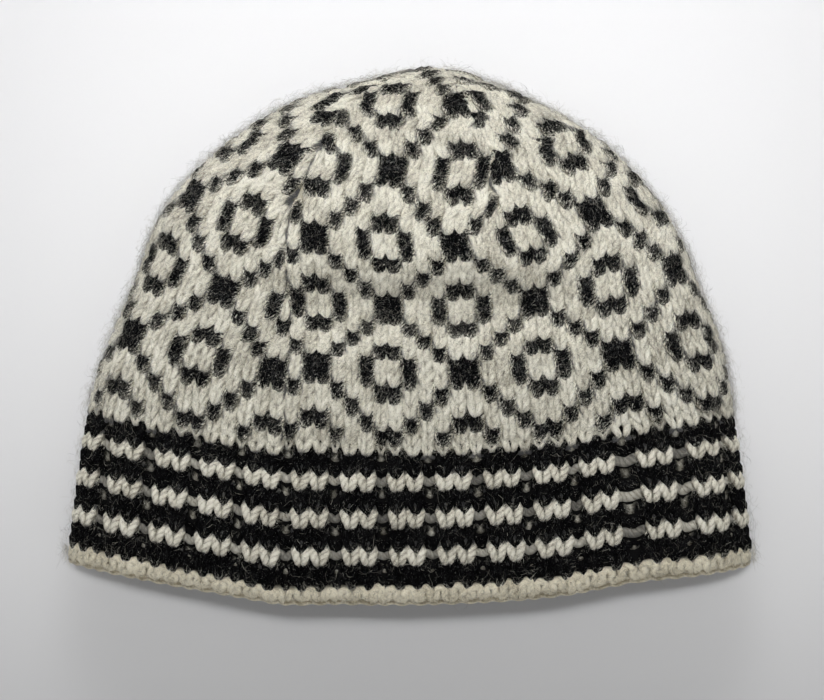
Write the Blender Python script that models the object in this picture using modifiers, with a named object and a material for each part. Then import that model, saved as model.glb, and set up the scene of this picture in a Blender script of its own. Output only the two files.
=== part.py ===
"""Knitted beanie lying flat on its back, at real size in metres, +Z up.

The rim points along -Y and the crown along +Y. The back of the hat rests on the
plane Z = 0, the front arches over it, and the hollow for the head lies between.
The hat is one curved wall, divided into crown, ribbed band and cast-on edge.
"""

import bpy
import numpy as np

# Driving sizes, in metres
LYING_WIDTH = 0.2404         # rim, left fold to right fold
LYING_LENGTH = 0.186         # middle of the front rim to the top of the crown
LYING_HEIGHT = 0.050         # floor to the highest part of the front
CROWN_WALL = 0.0045          # two-colour knitting with its floats
BAND_WALL = 0.0045           # ribbing
EDGE_WALL = 0.0040           # cast-on row
EDGE_LENGTH = 0.0062         # cast-on edge, along the front's middle
BAND_LENGTH = 0.0445         # ribbed band, along the front's middle
RIB_DEPTH = 0.0016           # how far a purl furrow lies below its knit rib
EDGE_RIB_DEPTH = 0.0006      # the same furrow, fading out in the cast-on edge
EDGE_ROUNDING = 0.0009       # rounding of the cast-on edge's corners
PRESSED_DEPTH = 0.0008       # how much of the underside's curve the floor takes away
SEAM_GAP = 0.0003            # clearance between neighbouring pieces

# Counts
RIBS = 30
STITCHES_PER_RIB = 3         # one purl and two knit
START_STITCH = 14.5          # stitches from the left fold to the start of the round
CROWN_ROWS = 22
BAND_ROWS = 4
EDGE_ROWS = 2

# Cross-section of the lying hat
LEFT_FULLNESS = 2.0          # exponent: the front slopes gently down to the left fold
RIGHT_FULLNESS = 2.8         # exponent: it stays high, then drops to the right fold
UNDER_FULLNESS = 6.0         # exponent: the underside is flat almost to the folds

# Sections of the hat from the rim to the tip. Columns: fabric is the share of the
# wall's length; along, front_rise and back_rise are shares of LYING_LENGTH; half_width
# and drift are shares of half of LYING_WIDTH; top, fold and under are shares of
# LYING_HEIGHT. A rise is how far the row climbs from its middle to the folds.
SECTION_COLUMNS = (
    "fabric", "along", "half_width", "drift", "front_rise", "back_rise", "top", "fold", "under",
)
SECTIONS = (
    (0.000, 0.000, 1.000, -0.002, 0.068, 0.069, 0.84, 0.28, 0.00),
    (0.124, 0.137, 0.976, -0.001, 0.066, 0.068, 0.88, 0.28, 0.00),
    (0.250, 0.276, 0.943, 0.001, 0.064, 0.068, 0.92, 0.27, 0.00),
    (0.383, 0.429, 0.886, 0.014, 0.067, 0.072, 0.98, 0.27, 0.00),
    (0.504, 0.544, 0.808, 0.017, 0.097, 0.105, 1.00, 0.27, 0.00),
    (0.625, 0.663, 0.684, 0.010, 0.105, 0.125, 0.95, 0.27, 0.00),
    (0.746, 0.806, 0.522, 0.017, 0.062, 0.140, 0.78, 0.26, 0.00),
    (0.867, 0.935, 0.310, 0.015, 0.010, 0.100, 0.54, 0.24, 0.00),
    (0.928, 0.979, 0.200, 0.040, -0.012, 0.062, 0.40, 0.22, 0.03),
    (0.976, 0.998, 0.078, 0.060, -0.010, 0.022, 0.27, 0.19, 0.10),
    (1.000, 0.994, 0.000, 0.065, 0.000, 0.000, 0.17, 0.17, 0.17),
)
MONOTONE_SECTIONS = 9        # sections in which "along" keeps growing

# Soft dents of the front. Columns: across and half_across are shares of half of
# LYING_WIDTH; along and half_along of LYING_LENGTH; depth of LYING_HEIGHT.
DENT_COLUMNS = ("across", "along", "half_across", "half_along", "depth")
DENTS = (
    (0.04, 0.550, 0.40, 0.050, 0.19),
    (-0.52, 0.480, 0.16, 0.110, 0.03),
)

# Waves of the front rim. Columns: across and half_across are shares of the half width
# there; reach is the share of the wall's length over which the wave fades out; drop is
# a share of LYING_LENGTH.
WAVE_COLUMNS = ("across", "half_across", "reach", "drop")
WAVES = (
    (-0.36, 0.10, 0.16, 0.006),
    (0.66, 0.17, 0.16, -0.010),
)

# Colours and finishes
CREAM = (0.70, 0.66, 0.55, 1.0)
CHARCOAL = (0.015, 0.015, 0.018, 1.0)
ECRU = (0.62, 0.55, 0.40, 1.0)
WOOL_ROUGHNESS = 0.95

# Fineness of the working curves and of the rounding
RING_SAMPLES = 1440
NORMAL_STEP = 0.002
ROUNDING_SEGMENTS = 1
CORNER_ANGLE = 60            # degrees: edges sharper than this are rounded


def named(columns, rows):
    """One array for each column of a table."""
    return dict(zip(columns, np.array(rows).T))


SECTION = named(SECTION_COLUMNS, SECTIONS)
DENT = named(DENT_COLUMNS, DENTS)
WAVE = named(WAVE_COLUMNS, WAVES)


def section_value(name, fabric):
    """Cubic Hermite curve through a column of the section table."""
    at, value = SECTION["fabric"], SECTION[name]
    slope = np.gradient(value, at)
    i = min(max(int(np.searchsorted(at, fabric)) - 1, 0), len(at) - 2)
    step = at[i + 1] - at[i]
    t = (fabric - at[i]) / step
    start = value[i] * (1 + 2 * t) * (1 - t) ** 2 + slope[i] * step * t * (1 - t) ** 2
    end = value[i + 1] * (3 - 2 * t) * t ** 2 - slope[i + 1] * step * t ** 2 * (1 - t)
    return start + end


def dent_depth(x, y):
    """Sum of the soft dents below a point of the front."""
    half = LYING_WIDTH / 2
    across = (x[:, None] / half - DENT["across"]) / DENT["half_across"]
    along = (y[:, None] / LYING_LENGTH - DENT["along"]) / DENT["half_along"]
    return (LYING_HEIGHT * DENT["depth"] * np.exp(-across ** 4 - along ** 2)).sum(axis=1)


def wave_drop(u, fabric):
    """How far the front rim hangs lower, at the share u of the half width."""
    across = (u[:, None] - WAVE["across"]) / WAVE["half_across"]
    fade = fabric / WAVE["reach"]
    return (LYING_LENGTH * WAVE["drop"] * np.exp(-across ** 2 - fade ** 2)).sum(axis=1)


def ring(fabric):
    """Closed curve of the hat at one section.

    The angle runs from the left fold over the front to the right fold and back
    underneath. The front is half a superellipse, and the underside is another,
    cut flat where it meets the floor.
    """
    value = {name: section_value(name, fabric) for name in SECTION_COLUMNS[1:]}
    half = LYING_WIDTH / 2
    angle = np.linspace(0, 2 * np.pi, RING_SAMPLES + 1)
    front = np.sin(angle) > 0
    u = -np.cos(angle)
    fullness = np.where(u < 0, LEFT_FULLNESS, RIGHT_FULLNESS)
    arch = np.sqrt(np.clip(1 - np.abs(u) ** fullness, 0, 1))
    keel = np.sqrt(np.clip(1 - np.abs(u) ** UNDER_FULLNESS, 0, 1))
    x = half * (value["drift"] + value["half_width"] * u)
    folds = LYING_LENGTH * (value["along"] + value["front_rise"])
    rise = LYING_LENGTH * np.where(front, value["front_rise"], value["back_rise"])
    y = folds - rise * (1 - u ** 2)
    fold = LYING_HEIGHT * value["fold"]
    over = fold + (LYING_HEIGHT * value["top"] - fold) * arch
    over -= arch * dent_depth(x, y)
    under = fold - (fold - LYING_HEIGHT * value["under"]) * keel
    under = np.maximum(under - PRESSED_DEPTH * keel, 0)
    y -= np.where(front, arch * wave_drop(u, fabric), 0)
    return np.column_stack([x, y, np.where(front, over, under)])


def around(fabric, shares):
    """Points at even shares of the way round one section, from the left fold."""
    curve = ring(fabric)
    lengths = np.append(0, np.cumsum(np.linalg.norm(np.diff(curve, axis=0), axis=1)))
    at = (shares % 1) * lengths[-1]
    return np.column_stack([np.interp(at, lengths, axis) for axis in curve.T])


def outward(fabric, shares):
    """Unit normals: the cross product of the way round and the way to the tip."""
    low, high = max(fabric - NORMAL_STEP, 0), min(fabric + NORMAL_STEP, 1)
    turn = around(fabric, shares + NORMAL_STEP) - around(fabric, shares - NORMAL_STEP)
    climb = around(high, shares) - around(low, shares)
    normal = np.cross(turn, climb)
    return normal / np.linalg.norm(normal, axis=1, keepdims=True)


def stitch_shares():
    """Middle of each stitch as a share of the way round."""
    stitches = RIBS * STITCHES_PER_RIB
    return (START_STITCH + np.arange(stitches) + 0.5) / stitches


def furrow(depth):
    """Rib relief of each stitch: purl stitches lie deep, knit stitches proud."""
    purl = np.arange(RIBS * STITCHES_PER_RIB) % STITCHES_PER_RIB == 0
    return np.where(purl, depth, 0.0)[:, None]


def fabric_at(length):
    """Share of the wall's length at a lying length from the rim, on the front."""
    rows = slice(0, MONOTONE_SECTIONS)
    return float(np.interp(length / LYING_LENGTH, SECTION["along"][rows], SECTION["fabric"][rows]))


def skin_rings(levels, rib_depth=0.0):
    """Rings of the outer skin, with one point for each stitch."""
    shares = stitch_shares()
    return [around(level, shares) - outward(level, shares) * furrow(rib_depth) for level in levels]


def loft(rings, tip=None):
    """Skin from ring to ring, with a point for each stitch, closed at the tip if it has one."""
    count = len(rings[0])
    stitch = np.arange(count)
    after = (stitch + 1) % count
    faces = []
    for low in np.arange(len(rings) - 1) * count:
        high = low + count
        faces += np.column_stack([low + stitch, low + after, high + after, high + stitch]).tolist()
    if tip is None:
        return np.concatenate(rings), faces
    last = (len(rings) - 1) * count
    pole = np.full(count, last + count)
    faces += np.column_stack([last + stitch, last + after, pole]).tolist()
    return np.concatenate(rings + [tip]), faces


def crown():
    """Domed crown from the top of the band to the closed tip."""
    start = fabric_at(EDGE_LENGTH + BAND_LENGTH + SEAM_GAP)
    levels = np.linspace(start, 1, CROWN_ROWS + 1)
    return loft(skin_rings(levels[:-1]), around(levels[-1], np.zeros(1)))


def ribbed_band():
    """Striped band in two-by-one rib."""
    start = fabric_at(EDGE_LENGTH + SEAM_GAP)
    end = fabric_at(EDGE_LENGTH + BAND_LENGTH)
    return loft(skin_rings(np.linspace(start, end, BAND_ROWS + 1), RIB_DEPTH))


def cast_on_edge():
    """Plain edge row at the rim."""
    levels = np.linspace(0, fabric_at(EDGE_LENGTH), EDGE_ROWS + 1)
    return loft(skin_rings(levels, EDGE_RIB_DEPTH))


def wool(name, colour):
    """Matt wool of one colour."""
    material = bpy.data.materials.new(name)
    material.use_nodes = True
    shader = material.node_tree.nodes["Principled BSDF"]
    shader.inputs["Base Color"].default_value = colour
    shader.inputs["Roughness"].default_value = WOOL_ROUGHNESS
    shader.inputs["Metallic"].default_value = 0.0
    return material


def add_piece(collection, name, skin, material, wall, rounding=0.0):
    """Put one piece of the wall into the scene: its skin, thickened inwards."""
    points, faces = skin
    mesh = bpy.data.meshes.new(name)
    mesh.from_pydata(points.tolist(), [], faces)
    mesh.materials.append(material)
    mesh.shade_smooth()
    piece = bpy.data.objects.new(name, mesh)
    collection.objects.link(piece)
    solidify = piece.modifiers.new("wall", "SOLIDIFY")
    solidify.thickness = wall
    solidify.offset = -1
    if rounding:
        bevel = piece.modifiers.new("rounding", "BEVEL")
        bevel.width = rounding
        bevel.segments = ROUNDING_SEGMENTS
        bevel.limit_method = "ANGLE"
        bevel.angle_limit = np.radians(CORNER_ANGLE)


def main():
    for old in list(bpy.data.objects):
        bpy.data.objects.remove(old)
    collection = bpy.data.collections.new("knitted_beanie")
    bpy.context.scene.collection.children.link(collection)
    skins = {"crown": crown(), "ribbed_band": ribbed_band(), "cast_on_edge": cast_on_edge()}
    corners = np.concatenate([points for points, _ in skins.values()])
    centre = (corners.min(axis=0) + corners.max(axis=0)) / 2
    centre[2] = 0
    skins = {name: (points - centre, faces) for name, (points, faces) in skins.items()}
    add_piece(collection, "crown", skins["crown"], wool("cream_wool", CREAM), CROWN_WALL)
    add_piece(collection, "ribbed_band", skins["ribbed_band"], wool("charcoal_wool", CHARCOAL), BAND_WALL)
    edge_wool = wool("ecru_wool", ECRU)
    add_piece(collection, "cast_on_edge", skins["cast_on_edge"], edge_wool, EDGE_WALL, EDGE_ROUNDING)


main()
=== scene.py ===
# %% [markdown]
# # A knitted beanie, stitch by stitch
# The real hat is a few metres of cream and charcoal wool, bent into loops. This lesson
# makes it the same way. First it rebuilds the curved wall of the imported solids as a
# function, then it lays rows of stitches on that wall, and at the end it adds the fuzz.
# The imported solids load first, because every piece has to lie where they do.

import bpy
import numpy as np
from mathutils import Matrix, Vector


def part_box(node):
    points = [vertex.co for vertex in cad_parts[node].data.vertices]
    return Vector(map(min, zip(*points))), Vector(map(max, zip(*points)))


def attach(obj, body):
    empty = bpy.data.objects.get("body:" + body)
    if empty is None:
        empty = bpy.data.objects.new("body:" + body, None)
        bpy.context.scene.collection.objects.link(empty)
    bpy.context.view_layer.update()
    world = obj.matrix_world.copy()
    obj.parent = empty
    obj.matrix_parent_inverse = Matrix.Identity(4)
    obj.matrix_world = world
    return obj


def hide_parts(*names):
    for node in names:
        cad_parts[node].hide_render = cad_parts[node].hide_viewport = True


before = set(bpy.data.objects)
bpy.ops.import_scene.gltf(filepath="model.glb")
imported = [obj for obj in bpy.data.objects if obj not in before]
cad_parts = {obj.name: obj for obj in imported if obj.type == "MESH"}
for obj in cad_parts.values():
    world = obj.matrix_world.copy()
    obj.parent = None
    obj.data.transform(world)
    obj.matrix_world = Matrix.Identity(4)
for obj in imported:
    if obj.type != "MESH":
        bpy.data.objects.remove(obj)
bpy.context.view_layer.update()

# %% [markdown]
# ## The wall as a function
# The hat lies on its back: flat underneath, arched in front, closed at the tip. One table
# gives its cross-sections from the rim to the tip. A lofted surface could be modelled by
# hand, or a sheet of cloth simulated, but a function of two numbers lets every stitch ask
# for its own place. The numbers are the share of the fabric's length, 0 at the rim and 1
# at the tip, and the share of the way round, 0 at the left fold.

# %% Sizes of the wall
LYING_WIDTH = 0.2404
LYING_LENGTH = 0.186
LYING_HEIGHT = 0.050
FABRIC_LENGTH = 0.2024
WALL = 0.0045
PRESSED_DEPTH = 0.0008
LEFT_FULLNESS = 2.0
RIGHT_FULLNESS = 2.8
UNDER_FULLNESS = 6.0
SLIM_AT, SLIM_REACH, SLIMMER = 0.47, 0.07, 0.024    # the folds lie closer together here
lying_size = (LYING_WIDTH, LYING_LENGTH, LYING_HEIGHT)
print("lying size (mm):", [round(size * 1000, 1) for size in lying_size])

# %% Sections, dents and waves
SECTION_COLUMNS = (
    "fabric", "along", "half_width", "drift", "front_rise", "back_rise", "top", "fold", "under",
)
SECTIONS = (
    (0.000, 0.000, 1.000, -0.002, 0.068, 0.069, 0.84, 0.28, 0.00),
    (0.124, 0.137, 0.976, -0.001, 0.066, 0.068, 0.88, 0.28, 0.00),
    (0.250, 0.276, 0.943, 0.001, 0.064, 0.068, 0.92, 0.27, 0.00),
    (0.383, 0.429, 0.886, 0.014, 0.067, 0.072, 0.98, 0.27, 0.00),
    (0.504, 0.544, 0.808, 0.017, 0.097, 0.105, 1.00, 0.27, 0.00),
    (0.625, 0.663, 0.684, 0.010, 0.105, 0.125, 0.95, 0.27, 0.00),
    (0.746, 0.806, 0.522, 0.017, 0.062, 0.140, 0.78, 0.26, 0.00),
    (0.867, 0.935, 0.310, 0.015, 0.010, 0.100, 0.54, 0.24, 0.00),
    (0.928, 0.979, 0.200, 0.040, -0.012, 0.062, 0.40, 0.22, 0.03),
    (0.976, 0.998, 0.078, 0.060, -0.010, 0.022, 0.27, 0.19, 0.10),
    (1.000, 0.994, 0.000, 0.065, 0.000, 0.000, 0.17, 0.17, 0.17),
)
DENT_COLUMNS = ("across", "along", "half_across", "half_along", "depth")
DENTS = (
    (0.04, 0.550, 0.40, 0.050, 0.19),
    (-0.52, 0.480, 0.16, 0.110, 0.03),
)
WAVE_COLUMNS = ("across", "half_across", "reach", "drop")
WAVES = (
    (-0.36, 0.10, 0.16, 0.006),
    (0.66, 0.17, 0.16, -0.010),
)


def named(columns, rows):
    """One array for each column of a table."""
    return dict(zip(columns, np.array(rows).T))


SECTION = named(SECTION_COLUMNS, SECTIONS)
DENT = named(DENT_COLUMNS, DENTS)
WAVE = named(WAVE_COLUMNS, WAVES)
print(len(SECTIONS), "sections,", len(DENTS), "dents,", len(WAVES), "waves")


# %% One column of the table as a smooth curve
def section_curve(name, fabric):
    """Cubic Hermite curve: between two rows, t runs from 0 to 1, and the two end values
    and the two end slopes are mixed with the four Hermite weights of t."""
    at, value = SECTION["fabric"], SECTION[name]
    slope = np.gradient(value, at)
    i = np.clip(np.searchsorted(at, fabric) - 1, 0, len(at) - 2)
    step = at[i + 1] - at[i]
    t = (fabric - at[i]) / step
    start = value[i] * (1 + 2 * t) * (1 - t) ** 2 + slope[i] * step * t * (1 - t) ** 2
    end = value[i + 1] * (3 - 2 * t) * t ** 2 - slope[i + 1] * step * t ** 2 * (1 - t)
    return start + end


middle_width = LYING_WIDTH * float(section_curve("half_width", 0.5))
print("width at half the fabric:", round(middle_width, 4), "m")


# %% Rings of the skin
def hat_rings(fabric, samples):
    """Closed rings, one for each level of the fabric.

    With u = -cos(angle), x is the drift plus the half width times u, a little less near
    the folds halfway up: by a bell curve times u to the fourth. The front's height is the
    fold's height plus the rest times the root of 1 - |u| to the fullness, less the dents,
    which fall off with a fourth power across and a square along; the underside does the
    same downwards and stops at the floor. A row climbs towards the folds with u squared,
    and two waves move the rim of the front along the hat."""
    value = {name: section_curve(name, fabric)[:, None] for name in SECTION_COLUMNS[1:]}
    half = LYING_WIDTH / 2
    angle = np.linspace(0, 2 * np.pi, samples + 1)[None]
    front = np.sin(angle) > 0
    u = -np.cos(angle)
    fullness = np.where(u < 0, LEFT_FULLNESS, RIGHT_FULLNESS)
    arch = np.sqrt(np.clip(1 - np.abs(u) ** fullness, 0, 1))
    keel = np.sqrt(np.clip(1 - np.abs(u) ** UNDER_FULLNESS, 0, 1))
    slim = SLIMMER * np.exp(-((fabric[:, None] - SLIM_AT) / SLIM_REACH) ** 2) * u ** 4
    x = half * (value["drift"] + value["half_width"] * (1 - slim) * u)
    rise = LYING_LENGTH * np.where(front, value["front_rise"], value["back_rise"])
    y = LYING_LENGTH * (value["along"] + value["front_rise"]) - rise * (1 - u ** 2)
    across = (x[..., None] / half - DENT["across"]) / DENT["half_across"]
    along = (y[..., None] / LYING_LENGTH - DENT["along"]) / DENT["half_along"]
    dent = LYING_HEIGHT * (DENT["depth"] * np.exp(-across ** 4 - along ** 2)).sum(axis=-1)
    fold = LYING_HEIGHT * value["fold"]
    over = fold + arch * (LYING_HEIGHT * value["top"] - fold - dent)
    under = fold - (fold - LYING_HEIGHT * value["under"]) * keel
    under = np.maximum(under - PRESSED_DEPTH * keel, 0)
    across = (u[..., None] - WAVE["across"]) / WAVE["half_across"]
    fade = (fabric[:, None] / WAVE["reach"])[:, None]
    wave = LYING_LENGTH * (WAVE["drop"] * np.exp(-across ** 2 - fade ** 2)).sum(axis=-1)
    return np.stack([x, y - front * arch * wave, np.where(front, over, under)], axis=-1)


def even_shares(rings, count):
    """The same rings with their points at even shares of each ring's own length. Every
    ring gets its own stretch of one long ruler, so one interpolation serves them all."""
    steps = np.linalg.norm(np.diff(rings, axis=1), axis=2)
    walked = np.pad(np.cumsum(steps, axis=1), ((0, 0), (1, 0)))
    ruler = 2.0 * np.arange(len(rings))[:, None]
    walked = walked / walked[:, -1:] + ruler
    at = np.linspace(0, 1, count + 1)[None] + ruler
    columns = [np.interp(at, walked.ravel(), axis.ravel()) for axis in np.moveaxis(rings, -1, 0)]
    return np.stack(columns, axis=-1)


LEVELS, SHARES = 420, 1440
BELOW_RIM, NEAR_TIP = -0.03, 0.9985
fabric_levels = np.linspace(BELOW_RIM, NEAR_TIP, LEVELS)
skin = even_shares(hat_rings(fabric_levels, SHARES), SHARES)
print("skin grid:", skin.shape[:2], "points")

# %% [markdown]
# ## The skin in its place
# The solids stand for the same wall, so the skin is moved until its crown meets theirs.
# Typing the distance in would also work, but measuring it keeps the two together. Each
# place on the skin then gets a normal, because yarn lies on it at different depths.

# %% Lay the skin on the solids
low, high = (np.array(corner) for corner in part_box("crown"))
CROWN_START = 0.3           # the crown begins below this level of the fabric
crown_skin = skin[fabric_levels > CROWN_START].reshape(-1, 3)
middle = (crown_skin.min(axis=0) + crown_skin.max(axis=0)) / 2
shift = np.array([(low[0] + high[0]) / 2 - middle[0], high[1] - crown_skin[:, 1].max(), 0])
skin = skin + shift
print("shift to the packed frame (mm):", np.round(shift * 1000, 2))

# %% Normals of the skin
turn = np.roll(skin[:, :-1], -1, axis=1) - np.roll(skin[:, :-1], 1, axis=1)
turn = np.concatenate([turn, turn[:, :1]], axis=1)
climb = np.gradient(skin, axis=0)
normals = np.cross(turn, climb)
normals /= np.linalg.norm(normals, axis=2, keepdims=True)
print("front middle points up by", np.round(normals[LEVELS // 2, SHARES // 4, 2], 2))


# %% Any place on the hat
def on_hat(fabric, share, lift):
    """Place and normal at a share of the fabric's length and of the way round.

    The four nearest points of the grid are mixed by their distances (a bilinear mix), and
    the result moves along the mixed normal by lift, which counts from mid-wall."""
    v = np.clip((fabric - BELOW_RIM) / (NEAR_TIP - BELOW_RIM), 0, 1) * (LEVELS - 1)
    u = (share % 1) * SHARES
    i = np.minimum(v.astype(int), LEVELS - 2)
    j = np.minimum(u.astype(int), SHARES - 1)
    dv, du = (v - i)[..., None], (u - j)[..., None]

    def mix(grid):
        below = grid[i, j] * (1 - du) + grid[i, j + 1] * du
        above = grid[i + 1, j] * (1 - du) + grid[i + 1, j + 1] * du
        return below * (1 - dv) + above * dv

    normal = mix(normals)
    normal /= np.linalg.norm(normal, axis=-1, keepdims=True)
    return mix(skin) + normal * (lift - WALL / 2)[..., None], normal


print("tip of the front:", np.round(on_hat(np.array([0.99]), np.array([0.25]), np.zeros(1))[0], 3))

# %% [markdown]
# ## Where each stitch sits
# The rows climb from the cast-on edge through the ribbed band to the tip, at a pitch of
# about 4 mm in the band and 5 mm in the crown. Ninety stitches go round. Towards the tip
# whole columns of stitches end on six lines, where the knitter worked two stitches into
# one. One stitch could be copied over the hat by an array, but its columns would never
# end. So the layout is worked out as shares of the way round, and it bends with the wall.

# %% Heights of the rows
EDGE_FOOT = 0.0024
ROW_GROUPS = (                # height of the first row, pitch, and how many rows
    (0.0036, 0.0041, 1),      # cast-on edge
    (0.0078, 0.0041, 11),     # ribbed band
    (0.0522, 0.0040, 2),      # first rows of the crown
    (0.0603, 0.0049, 29),     # the rest of the crown
)
row_heights = np.concatenate([first + pitch * np.arange(rows) for first, pitch, rows in ROW_GROUPS])
ROWS = len(row_heights)
FIRST_CROWN_ROW = 12
print(ROWS, "rows, the last at", round(row_heights[-1] * 1000, 1), "mm of", FABRIC_LENGTH * 1000)


def fabric_of_row(row):
    """Share of the fabric's length at a row, also between two rows: a straight line from
    each row to the next, carried on below the first and above the last."""
    index = np.arange(-2, ROWS + 1)
    foot = row_heights[0] - EDGE_FOOT
    heights = np.concatenate([[foot - EDGE_FOOT, foot], row_heights, [FABRIC_LENGTH]])
    return np.interp(row, index, heights) / FABRIC_LENGTH


# %% Columns of stitches and the lines where they end
STITCHES = 90
RIB = 3
PURL_WIDTH, KNIT_WIDTH = 0.80, 1.10
LINE_ROWS = (-12, 5.5, 10.5, 15.5, 20.5, 25.5, 28, 30, 31)     # counted in the crown
BACK_LINE = (0, 0, 0.3, 1.0, 2.5, 4.5, 5.6, 6.7, 7.3)
LINES = (                   # the line's stitch, and the stitches eaten on its left and right
    (0, (0, 0, 1.5, 3.0, 4.3, 6.0, 6.7, 7.2, 7.5), (0, 0, 0, 0, 1.2, 4.3, 5.8, 6.8, 7.3)),
    (15, (0, 0, 0, 0, 0.8, 2.3, 4.0, 6.0, 7.2), (0, 0, 0, 0, 1.5, 2.4, 4.0, 6.0, 7.2)),
    (30, BACK_LINE, BACK_LINE),
    (45, BACK_LINE, BACK_LINE),
    (60, BACK_LINE, BACK_LINE),
    (75, BACK_LINE, BACK_LINE),
)
START_ROWS = (-12, 0, 5.5, 10.5, 15.5, 20.5, 25.5, 31)
START_SHARES = (0.1622, 0.1622, 0.158, 0.151, 0.136, 0.122, 0.106, 0.100)
STRETCHED_PURLS = ((21, 0.75), (24, 0.35))  # these lie open, near the right-hand fold
STRETCHED_CROWN, CROWN_STRETCH = (18, 27), 0.11
TIGHT_BACK, BACK_WIDTH = (34, 62), 0.963    # and the back gives way for them
LEAST_STITCH = 0.45         # a column narrower than this has ended
RIBS_END = 1.5              # the ribs have faded out here, counted in the crown
FINE = 8                    # steps between two rows in the table of widths
fine_rows = np.arange(-FINE, (ROWS + 1) * FINE + 1) / FINE
fine_crown = (fine_rows - FIRST_CROWN_ROW)[:, None]
print(len(LINES), "lines,", len(fine_rows), "fine rows")


# %% Width of each column at each row
def column_weights():
    """Width of each column at each fine row, against a full stitch.

    A column d stitches from a line that has eaten e stitches on that side keeps the width
    d - e + 0.5, held between 0 and 1, and below the least width it closes with the fourth
    power. In the band the purls are narrower than the knits."""
    column = np.arange(STITCHES)[None]
    weight = np.ones((len(fine_rows), STITCHES))
    for line, left, right in LINES:
        away = (column + 0.5 - line + STITCHES / 2) % STITCHES - STITCHES / 2
        eaten_left = np.interp(fine_crown, LINE_ROWS, left)
        eaten_right = np.interp(fine_crown, LINE_ROWS, right)
        eaten = np.where(away < 0, eaten_left, eaten_right)
        weight *= np.clip(np.abs(away) - eaten + 0.5, 0, 1)
    closing = LEAST_STITCH * (weight / LEAST_STITCH) ** 4
    weight = np.where(weight < LEAST_STITCH, closing, weight)
    ribbed = np.clip(RIBS_END - fine_crown, 0, 1)
    rib_width = np.where(column % RIB == 0, PURL_WIDTH, KNIT_WIDTH)
    for purl, extra in STRETCHED_PURLS:
        rib_width = rib_width + extra * (column == purl)
    first, last = STRETCHED_CROWN
    stretched = (column >= first) & (column <= last)
    weight = weight * (1 + (rib_width - 1) * ribbed + CROWN_STRETCH * stretched * (1 - ribbed))
    first, last = TIGHT_BACK
    return weight * np.where((column >= first) & (column <= last), BACK_WIDTH, 1)


weights = column_weights()
edges = np.pad(np.cumsum(weights, axis=1), ((0, 0), (1, 0)))
edges = edges / edges[:, -1:] + np.interp(fine_crown, START_ROWS, START_SHARES)
full_stitch = 1 / weights.sum(axis=1)       # share of the way round that a full stitch takes
left_to_knit = (weights[::FINE] > LEAST_STITCH).sum(axis=1)
print("stitches in the rows of the crown:", left_to_knit[FIRST_CROWN_ROW + 1:])


def share_of_stitch(row, stitch):
    """Share of the way round at a row and a stitch, also between two of either: a
    bilinear look-up in the table of column edges, just short of its last row at most."""
    v = np.clip((row + 1) * FINE, 0, len(fine_rows) - 1.001)
    whole_turns = np.floor(stitch / STITCHES)
    u = stitch - whole_turns * STITCHES
    i, j = v.astype(int), np.minimum(u.astype(int), STITCHES - 1)
    dv, du = v - i, u - j
    below = edges[i, j] * (1 - du) + edges[i, j + 1] * du
    above = edges[i + 1, j] * (1 - du) + edges[i + 1, j + 1] * du
    return below * (1 - dv) + above * dv + whole_turns


# %% [markdown]
# ## How worn wool lies
# A round of knitting is a spiral, so a row doesn't meet itself at the start of the round.
# Worn fabric has also been pulled about: rows sag and columns lean. A simulation would
# give some such pull, but not this one. Two small tables move the rows and stitches to
# where they lie on this hat, and everything knitted asks them for its place.

# %% The step at the start of the round
STEP_REACH = 6.0            # stitches over which the step fades out
STEP_ROWS, STEP_SIZES = (-3, 1, 16, 26), (0.2, 0.85, 0.6, 0.2)      # counted in the crown


def row_step(row, stitch):
    """How many rows lower the fabric lies just left of the start line: most of a row in
    the crown, fading out over a few stitches as an exponential."""
    away = (STITCHES - stitch) % STITCHES
    size = np.interp(row - FIRST_CROWN_ROW, STEP_ROWS, STEP_SIZES)
    return -size * np.exp(-away / STEP_REACH) * (away > 0)


first_step = row_step(FIRST_CROWN_ROW, STITCHES - 1)
print("step at the first row of the crown:", round(first_step, 2), "rows")


# %% How the worn fabric has drifted
DRIFT_ROWS = (-12, -4, 3, 7, 11, 15, 20, 31)      # counted in the crown
DRIFT_STITCHES = (-24, -16, -12, -8, -5, -2, 1, 4, 8, 11, 14, 17, 22, 29, 36)
ROW_DRIFT = np.array((      # in hundredths of a row
    (  0,  25,  27,  25,  12, -12, -16,   0,   8,  18,  22,  22,  30, -10,   0),
    (  0,  69,  82,  65,  44,  27,   8,  10,  24,  29,  36,  41,  73,  47,   0),
    (  0,  65,  72,  54,  43,  37,  28,  20,  -4, -11,   0,  14,  30,  26,   0),
    (  0,  57,  47,  20,   3,   3,   9,  12,  -5, -15,  -9,   1,   8, -14,   0),
    (  0,  51,  31,  -4, -29, -28, -17, -10, -15, -23, -25, -19,  -8, -41,   0),
    (  0,  48,  32,  -8, -39, -45, -35, -24, -22, -39, -47, -39,  -8, -43,   0),
    (  0,  44,  38,  -3, -39, -54, -49, -34, -26, -51, -62, -51,  24, -21,   0),
    (  0, -11, -28, -48, -58, -62, -62, -58, -52, -51, -45, -32,   6,  21,   0),
)) / 100
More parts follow.
